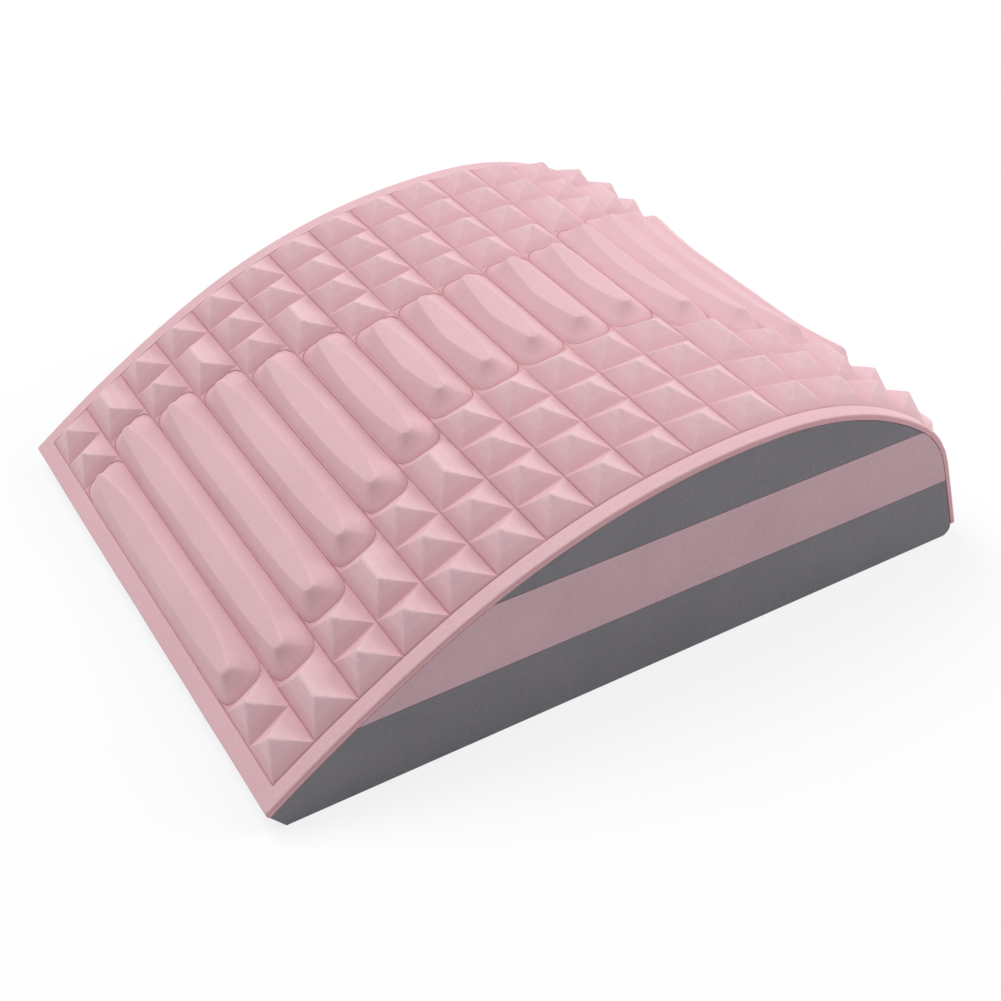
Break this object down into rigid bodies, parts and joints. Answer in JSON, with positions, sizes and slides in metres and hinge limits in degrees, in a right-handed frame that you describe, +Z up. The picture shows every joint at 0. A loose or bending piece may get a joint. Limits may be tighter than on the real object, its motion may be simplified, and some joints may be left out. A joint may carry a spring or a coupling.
{
  "type": "lumbar back stretcher",
  "caption": "Arched foam lumbar back stretcher: a moulded massage mat of pyramid studs and cross bars glued over a layered foam core that stands on a flat base.",
  "frame": {"origin": "on the floor plane, under the middle of the whole stretcher's length and width", "axes": "+X along the arch from the thin edge to the steep heel, +Y across the back, +Z up"},
  "size_m": [0.395, 0.305, 0.1215],
  "materials": {
    "pink_mat": "moulded closed-cell foam rubber with a dull satin skin",
    "pink_foam": "matt cut closed-cell foam",
    "grey_foam": "matt cut closed-cell foam"
  },
  "bodies": {
    "root": {"core_layer_lower": "grey_foam", "core_layer_middle": "pink_foam", "core_layer_upper": "grey_foam", "massage_mat": "pink_mat"}
  },
  "joints": []
}
